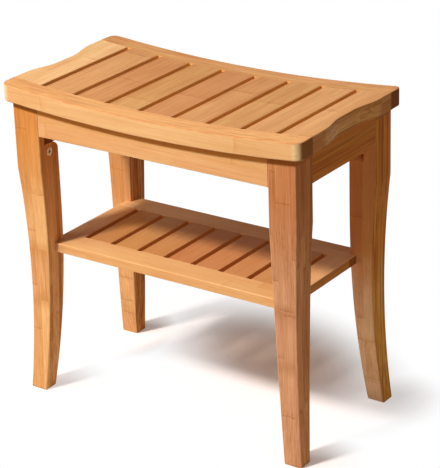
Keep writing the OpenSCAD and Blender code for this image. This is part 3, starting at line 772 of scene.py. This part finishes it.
def bamboo_group():
    """Laminated bamboo: glued strips with their own tone, fibres, rings and glue lines, and dotted end grain.
    Place holds metres along the grain, across the strips and down through the layers."""
    tree, given = open_group()
    along, across, deep = separate(tree, given["Place"])
    facing = separate(tree, given["Normal"])
    edge_face = ramp(tree, calc(tree, "ABSOLUTE", facing["Y"]), *EDGE_FACE)
    flat_face = calc(tree, "SUBTRACT", 1.0, edge_face)
    end_grain = ramp(tree, calc(tree, "ABSOLUTE", facing["X"]), *END_FACE)

    # Each glued strip has its own random numbers
    strip_at, layer_at, cell = strip_cells(tree, given, across, deep)
    luck = random_at(tree, cell)
    lucky = node(tree, "ShaderNodeSeparateColor", {0: luck["Color"]}).outputs
    shift = calc(tree, "MULTIPLY", luck["Value"], STRIP_SHIFT)

    def grained(name):
        """Noise stretched along the grain, shifted in each strip."""
        length, width, detail, rough = GRAIN_NOISES[name]
        place = combine(tree, calc(tree, "ADD", calc(tree, "MULTIPLY", along, length), shift),
                        calc(tree, "ADD", calc(tree, "MULTIPLY", across, width), given["Seed"]),
                        calc(tree, "MULTIPLY", deep, width))
        return noise(tree, place, 1.0, detail, rough)

    fibre = grained("fibre")
    patch = ramp(tree, grained("patch"), *PATCHED)
    ring, band, glow, length_luck = stem_rings(tree, given, along, cell, lucky["Green"], flat_face, patch)
    glue = glue_lines(tree, given, strip_at, layer_at)

    # Tone from deep to pale
    contrast = calc(tree, "MULTIPLY", given["Contrast"], plus(tree, 1.0, edge_face, EDGE_CONTRAST))
    tone = vary(tree, TONE_MEAN, lucky["Red"], contrast)
    chances = {"length": length_luck, "cloud": grained("cloud"), "streak": grained("streak"), "fibre": fibre}
    for name, amount in TONE_SPREADS.items():
        tone = vary(tree, tone, chances[name], amount)
    marks = {"fleck": ramp(tree, grained("fleck"), *FLECKED), "ring": ring, "band": band, "glow": glow}
    for name, amount in TONE_MARKS.items():
        tone = plus(tree, tone, marks[name], amount)
    tone = calc(tree, "MULTIPLY", plus(tree, 1.0, glue, TONE_GLUE), tone)
    colour = mix(tree, node(tree, "ShaderNodeClamp", {0: tone}).outputs[0], given["Deep"], given["Pale"])

    # Faces that show the layers' edges have a tint, partly edge grain and partly painted shade, and dark
    # veins
    edged = calc(tree, "MULTIPLY", edge_face, given["Edge"])
    colour = mix(tree, edged, colour, given["Edge Color"], "MULTIPLY")
    veined = calc(tree, "MULTIPLY", ramp(tree, grained("vein"), *VEINED),
                  plus(tree, VEIN_ON_FLAT, edge_face, VEIN_MORE_ON_EDGE))
    veined = calc(tree, "MULTIPLY", veined, calc(tree, "MULTIPLY", given["Edge"], given["Vein"]))
    colour = mix(tree, veined, colour, VEIN, "MULTIPLY")
    colour = node(tree, "ShaderNodeHueSaturation",
                  {"Hue": vary(tree, 0.5, lucky["Blue"], HUE_SPREAD), "Color": colour}).outputs[0]

    # Redder and darker towards one end, the top of a leg
    warm = calc(tree, "MULTIPLY", ramp(tree, along, given["Warm From"], given["Warm To"]), given["Warm"])
    colour = mix(tree, warm, colour, WARM_TINT, "MULTIPLY")

    # End grain: darker, with the dots of the cut fibres
    dots = node(tree, "ShaderNodeTexVoronoi", {
        "Vector": combine(tree, across, deep, given["Seed"]), "Scale": DOTS_PER_METRE},
        voronoi_dimensions="3D").outputs["Distance"]
    dot = ramp(tree, dots, *DOT_SIZE)
    end_colour = mix(tree, plus(tree, END_DEPTH, dot, DOT_DEPTH), colour, given["Deep"])
    colour = mix(tree, calc(tree, "MULTIPLY", end_grain, END_SHARE), colour, end_colour)
    colour = mix(tree, end_grain, colour, END_TINT, "MULTIPLY")

    # Painted highlight or shade on rounded edges, in patches, and painted shade on marked sides and under the
    # seat
    patchy = ramp(tree, noise(tree, given["Place"], EDGE_PAINT_SCALE), *EDGE_PAINT_PATCHES)
    rub = calc(tree, "MULTIPLY", point_layer(tree, "arris"), calc(tree, "MULTIPLY", patchy, given["Edge Paint"]))
    colour = mix(tree, rub, colour, given["Arris"])
    shade_amount = calc(tree, "MAXIMUM", point_layer(tree, "soaked"), given["Seat Shade"])
    colour = mix(tree, calc(tree, "MULTIPLY", shade_amount, SHADE_PAINT_SHARE), colour, given["Shade Color"])

    rough = vary(tree, ROUGH_MEAN, fibre, ROUGH_FIBRE)
    rough = plus(tree, plus(tree, rough, end_grain, ROUGH_END), rub, ROUGH_EDGE_PAINT)
    height = plus(tree, plus(tree, fibre, glue, HEIGHT_GLUE), ring, HEIGHT_RING)
    height = plus(tree, height, calc(tree, "MULTIPLY", dot, end_grain), HEIGHT_DOT)
    bump = node(tree, "ShaderNodeBump", {"Height": height, **GRAIN_BUMP}).outputs[0]
    node(tree, "NodeGroupOutput", {"Base Color": colour, "Roughness": rough, "Normal": bump})
    return tree


BAMBOO = bamboo_group()
AXES = {"X": Vector((1, 0, 0)), "Y": Vector((0, 1, 0)), "Z": Vector((0, 0, 1))}


def grain_turn(order):
    """Turn that brings the three named axes to the grain, the strips' width and the layers' depth."""
    along, across, deep = (AXES[letter] for letter in order)
    if along.cross(across).dot(deep) < 0:
        deep = -deep
    return Matrix((along, across, deep)).to_euler()


def turned_box(node_name, turn):
    """Least corner and size of a node's box after the turn."""
    low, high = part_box(node_name)
    corners = [turn.to_matrix() @ Vector((x, y, z)) for x in (low.x, high.x) for y in (low.y, high.y)
               for z in (low.z, high.z)]
    least = Vector(min(c[i] for c in corners) for i in range(3))
    return least, Vector(max(c[i] for c in corners) for i in range(3)) - least


def painted_seat_shade(tree, spot):
    """Share of painted shade: 1 on wood close under the seat, where its overhang casts shade, and 0 further
    down.
    """
    from_arc = vector(tree, "MULTIPLY", vector(tree, "SUBTRACT", spot, (0, 0, arc_z)), (1, 0, 1))
    below = calc(tree, "SUBTRACT", vector(tree, "LENGTH", from_arc), top_r + SEAT_THICK)
    return ramp(tree, below, SEAT_SHADE_TO, SEAT_SHADE_FROM)


def bamboo(node_name, seed, grain, strips, layers, tone, contrast=0.4, spacing=0.2, stagger=0.0, edge=0.7,
           tint=EDGE_TINT, vein=1.0, rub=0.25, arris=None, warm=0.0, warm_span=(0.22, 0.40), soaked=SEAT_SLOT_SHADE,
           contact=False):
    """Material for one board, with its strips and layers counted from the board's edges.
    grain names the axes of the grain, the strips' width and the layers' depth; spacing is the length between
    rings; stagger shifts the strips of each layer; edge, tint and vein are for faces that show the layers'
    edges, whose tint is partly painted shade; rub and arris give rounded edges a painted highlight or
    shade; warm reddens the wood over warm_span; soaked is the colour of painted shade on the plank's
    marked sides and, with contact, on the wood close under the seat."""
    material, tree, shader = new_material(node_name)
    turn = grain_turn(grain)
    least, size = turned_box(node_name, turn)
    spot = node(tree, "ShaderNodeTexCoord").outputs
    place = node(tree, "ShaderNodeMapping", {"Vector": spot["Object"], "Location": -least, "Rotation": turn},
                 vector_type="POINT").outputs[0]
    normal = node(tree, "ShaderNodeMapping", {"Vector": spot["Normal"], "Rotation": turn},
                  vector_type="VECTOR").outputs[0]
    pale, deep = TONES[tone]
    grown = node(tree, "ShaderNodeGroup", {
        "Place": place, "Normal": normal, "Strip": size.y / strips, "Layer": size.z / layers,
        "Stagger": stagger, "Spacing": spacing, "Seed": seed, "Contrast": contrast, "Edge": edge,
        "Vein": vein, "Edge Paint": rub, "Warm": warm, "Warm From": warm_span[0], "Warm To": warm_span[1],
        "Seat Shade": painted_seat_shade(tree, spot["Object"]) if contact else 0.0,
        "Pale": pale, "Deep": deep, "Edge Color": tint, "Shade Color": soaked, "Arris": arris or pale,
    }, node_tree=BAMBOO).outputs
    for name in BAMBOO_OUTPUTS:
        tree.links.new(grown[name], shader.inputs[name])
    for name, value in LACQUER.items():
        shader.inputs[name].default_value = value
    return material


# Plated steel: zinc tinted tan, partly as a painted reflection of the wood round it, with fine scratches and
# dull spots
ZINC = srgb(212, 165, 120)
DULL_ZINC = srgb(160, 122, 86)
SCRATCH_STRETCH = (1, 1, 14)
SCRATCH_NOISE = (900.0, 3.0, 0.7)
SPOT_NOISE = (260.0, 3.0)
SPOTTED = (0.35, 0.7)
STEEL_ROUGH = 0.22
SCRATCH_ROUGH = 0.25
SPOT_ROUGH = 0.2
SCRATCH_BUMP = {"Strength": 0.2, "Distance": 0.1 * MM}


def plated_steel():
    material, tree, shader = new_material("plated_steel")
    place = node(tree, "ShaderNodeTexCoord").outputs["Object"]
    stretched = node(tree, "ShaderNodeMapping", {"Vector": place, "Scale": SCRATCH_STRETCH}).outputs[0]
    scratch = noise(tree, stretched, *SCRATCH_NOISE)
    dull = noise(tree, place, *SPOT_NOISE)
    colour = mix(tree, ramp(tree, dull, *SPOTTED), ZINC, DULL_ZINC)
    rough = plus(tree, plus(tree, STEEL_ROUGH, scratch, SCRATCH_ROUGH), dull, SPOT_ROUGH)
    bump = node(tree, "ShaderNodeBump", {"Height": scratch, **SCRATCH_BUMP}).outputs[0]
    for name, value in {"Base Color": colour, "Roughness": rough, "Normal": bump}.items():
        tree.links.new(value, shader.inputs[name])
    shader.inputs["Metallic"].default_value = 1.0
    return material


STEEL = plated_steel()

# Dressing: each board stands for its node, and has the next seed
seeds = itertools.count(1)
SIDES_X = (("left", -1), ("right", 1))
SIDES_Y = (("front", -1), ("rear", 1))
SEAT_RAIL_LOOKS = {
    "front": {"layers": 1, "tone": "pearl", "edge": 1.0, "vein": 0.4, "tint": RAIL_TINT},
    "rear": {"layers": 5, "tone": "wheat", "edge": 0.4},
}
SEAT_END_TONES = {"left": "straw", "right": "honey"}
# Each leg's look: edge and tint set the painted shade on its layer faces, and arris on its rounded edges
LEG_LOOKS = {
    "front_left": {"tone": "amber", "edge": 0.5, "warm": 1.0},
    "front_right": {"tone": "umber", "edge": 0.65, "warm": 0.8, "vein": 0.8, "tint": UMBER_TINT},
    "rear_left": {"tone": "amber", "edge": 1.0},
    "rear_right": {"tone": "rose", "edge": 1.0, "warm": 1.0, "warm_span": (0.15, 0.24), "tint": ROSE_TINT,
                   "arris": ROSE_ARRIS},
}


def dress(obj, material):
    """Gives a piece its material."""
    obj.data.materials.clear()
    obj.data.materials.append(material)


def board(piece, node_name, slot, **look):
    """Puts a finished board in its node's place."""
    finish_shading(piece)
    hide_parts(node_name)
    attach(piece, "root")
    dress(piece, bamboo(node_name, next(seeds), **look))


def slats(prefix, count, reach, thick, place, **look):
    """Slats between two rails."""
    for i in range(1, count + 1):
        name = f"{prefix}_slat_{i}"
        board(slat(f"{prefix}_slat_board_{i}", name, reach, thick, place), name,
              "bamboo_honey" if i % 2 else "bamboo_amber", grain="YXZ", strips=1, tone="tan", contrast=0.3,
              **look)


for side, sy in SIDES_Y:
    board(seat_rail(f"{side}_seat_rail", sy), f"seat_{side}_rail", "bamboo_straw", grain="XZY", strips=1,
          contrast=0.06, spacing=0.31, rub=0.9, arris=RAIL_ARRIS, **SEAT_RAIL_LOOKS[side])
    board(long_apron(f"{side}_apron_board", sy), f"{side}_apron", "bamboo_honey", grain="XZY", strips=2,
          layers=3, tone="cream", contrast=0.2, spacing=0.37, soaked=APRON_SEAT_SHADE, contact=True)
    board(shelf_rail(f"{side}_shelf_rail", sy), f"shelf_{side}_rail", "bamboo_straw", grain="XYZ", strips=2,
          layers=2, tone="cream", contrast=0.3, spacing=0.29, edge=0.15, soaked=SHELF_SLOT_SHADE)
for side, sx in SIDES_X:
    board(seat_end_board(f"{side}_seat_end_board", sx), f"seat_end_board_{side}", "bamboo_honey", grain="YXZ",
          strips=2, layers=4, tone=SEAT_END_TONES[side], rub=0.1)
    # The end aprons take the deeper russet tone as painted shade, since their seen faces lie in shade
    board(short_apron(f"{side}_apron_board", sx), f"{side}_apron", "bamboo_russet", grain="YXZ", strips=1,
          layers=4, tone="russet", contrast=0.15)
    board(shelf_end_board(f"{side}_shelf_end_board", sx), f"shelf_end_board_{side}", "bamboo_honey",
          grain="YXZ", strips=2, layers=2, tone="straw", soaked=SHELF_END_SHADE)
slats("seat", SEAT_SLATS, rail_in, SEAT_THICK, on_seat(1, 1), layers=4)
slats("shelf", SHELF_SLATS, shelf_rail_in, shelf_thick, on_shelf(1, 1), layers=2, soaked=SHELF_SLOT_SHADE)
for end, sy in SIDES_Y:
    for side, sx in SIDES_X:
        corner = f"{end}_{side}"
        board(leg(f"{corner}_leg", sx, sy), f"leg_{corner}", "bamboo_amber", grain="ZXY", strips=2, layers=6,
              contrast=0.3, spacing=0.15, stagger=1.0, rub=0.7, soaked=LEG_SEAT_SHADE, contact=True,
              **LEG_LOOKS[corner])
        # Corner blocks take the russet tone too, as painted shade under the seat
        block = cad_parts[f"corner_block_{corner}"]
        dress(block, bamboo(block.name, next(seeds), grain="XYZ", strips=3, layers=4, tone="russet"))
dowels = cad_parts["apron_dowels"]
dress(dowels, bamboo(dowels.name, next(seeds), grain="ZXY", strips=30, layers=20, tone="straw"))
for name in ("leg_cam_locks", "leg_connecting_bolts", "shelf_cam_locks", "shelf_connecting_bolts",
             "corner_block_screws"):
    dress(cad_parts[name], STEEL)


# Floor: its colour where the stool's shadow shows, tinted warm, which shows only in shadow, and a darker
# colour in the middle of the shadow under the shelf, which is painted shadow
FLOOR_HALF = 7.0
FLOOR_SEEN = (1.26, 1.11, 1.04, 1)
FLOOR_PAINTED_SHADOW = (0.95, 0.70, 0.53, 1)

# Its colours for the light that it throws back, near the stool and away from it, and where they change
BOUNCE = srgb(222, 219, 214)
BOUNCE_AWAY = srgb(90, 89, 88)
BOUNCE_NEAR = 0.60
BOUNCE_FAR = 1.30

# Slanting oval in which the shadow under the shelf shows: its middle, half axes, slope and greatest share,
# and where that share and the painted shadow's deeper colour start and end, in parts of the half axes
BLOB_AT = (0.02, 0.140, 0)
BLOB_SIZE = (0.26, 0.165, 1)
BLOB_SLOPE = -0.27
BLOB_SHADE = 0.94
BLOB_CORE = 0.30
BLOB_EDGE = 1.10
BLOB_DEEP_CORE = 0.1
BLOB_DEEP_EDGE = 0.60

# Shares of the shadow that show at the feet, and the distances over which they fade
FOOT_SHADE = 0.5
FOOT_SHADE_DEEP = 0.85
FOOT_SHADE_NEAR = 0.02
FOOT_SHADE_FAR = 0.105


def in_sight(tree):
    """1 for what is seen, also in a gloss or through something clear, and 0 for light on the object."""
    path = node(tree, "ShaderNodeLightPath").outputs
    return calc(tree, "MAXIMUM", calc(tree, "MAXIMUM", path["Is Camera Ray"], path["Is Glossy Ray"]),
                path["Is Transmission Ray"])


def shadow_places(tree, spot):
    """How much of the stool's shadow shows at a spot: in a slanting oval behind and under the shelf, and
    round the feet, where the front right and the rear left one show more of it; and how much of the painted
    shadow's deeper colour the middle of the oval gets."""
    offset = separate(tree, vector(tree, "SUBTRACT", spot, BLOB_AT))
    slanting = combine(tree, offset["X"], plus(tree, offset["Y"], offset["X"], -BLOB_SLOPE))
    from_blob = vector(tree, "LENGTH", vector(tree, "DIVIDE", slanting, BLOB_SIZE))
    foot = ((foot_xi + foot_xo) / 2, (foot_yi + foot_yo) / 2, 0)
    from_foot = vector(tree, "DISTANCE", vector(tree, "ABSOLUTE", spot), foot)
    at = separate(tree, spot)
    deeper = calc(tree, "LESS_THAN", calc(tree, "MULTIPLY", at["X"], at["Y"]), 0.0)
    foot_shade = plus(tree, FOOT_SHADE, deeper, FOOT_SHADE_DEEP - FOOT_SHADE)
    shown = calc(tree, "MAXIMUM", ramp(tree, from_blob, BLOB_EDGE, BLOB_CORE, 0.0, BLOB_SHADE),
                 ramp(tree, from_foot, FOOT_SHADE_FAR, FOOT_SHADE_NEAR, 0.0, foot_shade))
    return shown, ramp(tree, from_blob, BLOB_DEEP_EDGE, BLOB_DEEP_CORE)


def white_floor():
    """Floor that is white except where it shows the stool's shadow, deepened by painted shadow under the
    shelf, and throws light back near the stool.
    """
    bm = bmesh.new()
    bmesh.ops.create_grid(bm, x_segments=4, y_segments=4, size=FLOOR_HALF)
    floor = new_piece("floor", bm)
    material, tree, _ = new_material("floor")
    tree.nodes.clear()
    seen = in_sight(tree)
    spot = node(tree, "ShaderNodeTexCoord").outputs["Object"]
    shown, core = shadow_places(tree, spot)
    thrown = mix(tree, ramp(tree, vector(tree, "LENGTH", spot), BOUNCE_NEAR, BOUNCE_FAR), BOUNCE, BOUNCE_AWAY)
    shaded = mix(tree, seen, thrown, mix(tree, core, FLOOR_SEEN, FLOOR_PAINTED_SHADOW))
    plain = node(tree, "ShaderNodeBsdfDiffuse", {"Color": shaded}).outputs[0]
    glow = node(tree, "ShaderNodeEmission", {"Strength": 1.0}).outputs[0]
    white = calc(tree, "MULTIPLY", seen, calc(tree, "SUBTRACT", 1.0, shown))
    shader = node(tree, "ShaderNodeMixShader", {0: white, 1: plain, 2: glow})
    node(tree, "ShaderNodeOutputMaterial", {"Surface": shader.outputs[0]})
    floor.data.materials.append(material)


# Light: a key lamp, a softer one further to the left, a weak one low on the right, and an even sky
LAMP_DISTANCE = 3.0
LAMPS = {
    "key": {"azimuth": math.radians(-26), "elevation": math.radians(49), "size": 0.36, "power": 88.0},
    "fill": {"azimuth": math.radians(-55), "elevation": math.radians(25), "size": 1.2, "power": 25.0},
    "side": {"azimuth": math.radians(72), "elevation": math.radians(4), "size": 2.0, "power": 16.0},
}
SKY_LIGHT = 0.15


def direction(azimuth, elevation):
    """From the stool towards something at that azimuth, counted from -Y towards +X."""
    return Vector((math.sin(azimuth) * math.cos(elevation), -math.cos(azimuth) * math.cos(elevation),
                   math.sin(elevation)))


def lamp(name, azimuth, elevation, size, power):
    """Square lamp that faces the middle of the stool's height."""
    light = bpy.data.lights.new(name, "AREA")
    light.energy = power
    light.size = size
    holder = bpy.data.objects.new(name, light)
    towards = direction(azimuth, elevation)
    holder.location = towards * LAMP_DISTANCE + Vector((0, 0, seat_low / 2))
    holder.rotation_euler = towards.to_track_quat("Z", "Y").to_euler()
    bpy.context.scene.collection.objects.link(holder)


def sky():
    """White where it is seen, and a weak light on the object."""
    world = bpy.data.worlds.new("sky")
    bpy.context.scene.world = world
    world.use_nodes = True
    tree = world.node_tree
    tree.nodes.clear()
    strength = plus(tree, SKY_LIGHT, in_sight(tree), 1.0 - SKY_LIGHT)
    light = node(tree, "ShaderNodeBackground", {"Color": (1, 1, 1, 1), "Strength": strength})
    node(tree, "ShaderNodeOutputWorld", {"Surface": light.outputs[0]})


# Camera at the photograph's viewing angle
CAMERA_PLACE = Vector((1.4289, -1.9849, 1.2746))
CAMERA_AZIMUTH = math.radians(35.247)
CAMERA_ELEVATION = math.radians(22.910)
CAMERA_ROLL = math.radians(-1.876)
CAMERA_FOCAL_PX = 1941.6
PHOTO_LONG_SIDE_PX = 468
SENSOR_MM = 36.0


def photo_camera():
    data = bpy.data.cameras.new("photo_camera")
    data.sensor_width = SENSOR_MM
    data.lens = CAMERA_FOCAL_PX * SENSOR_MM / PHOTO_LONG_SIDE_PX
    camera = bpy.data.objects.new("photo_camera", data)
    back = direction(CAMERA_AZIMUTH, CAMERA_ELEVATION)
    right = Vector((math.cos(CAMERA_AZIMUTH), math.sin(CAMERA_AZIMUTH), 0))
    level = Matrix((right, back.cross(right), back)).transposed()
    camera.rotation_euler = (level @ Matrix.Rotation(CAMERA_ROLL, 3, "Z")).to_euler()
    camera.location = CAMERA_PLACE
    bpy.context.scene.collection.objects.link(camera)
    bpy.context.scene.camera = camera


white_floor()
for name, settings in LAMPS.items():
    lamp(name, **settings)
sky()
photo_camera()
bpy.context.scene.view_settings.view_transform = "Standard"
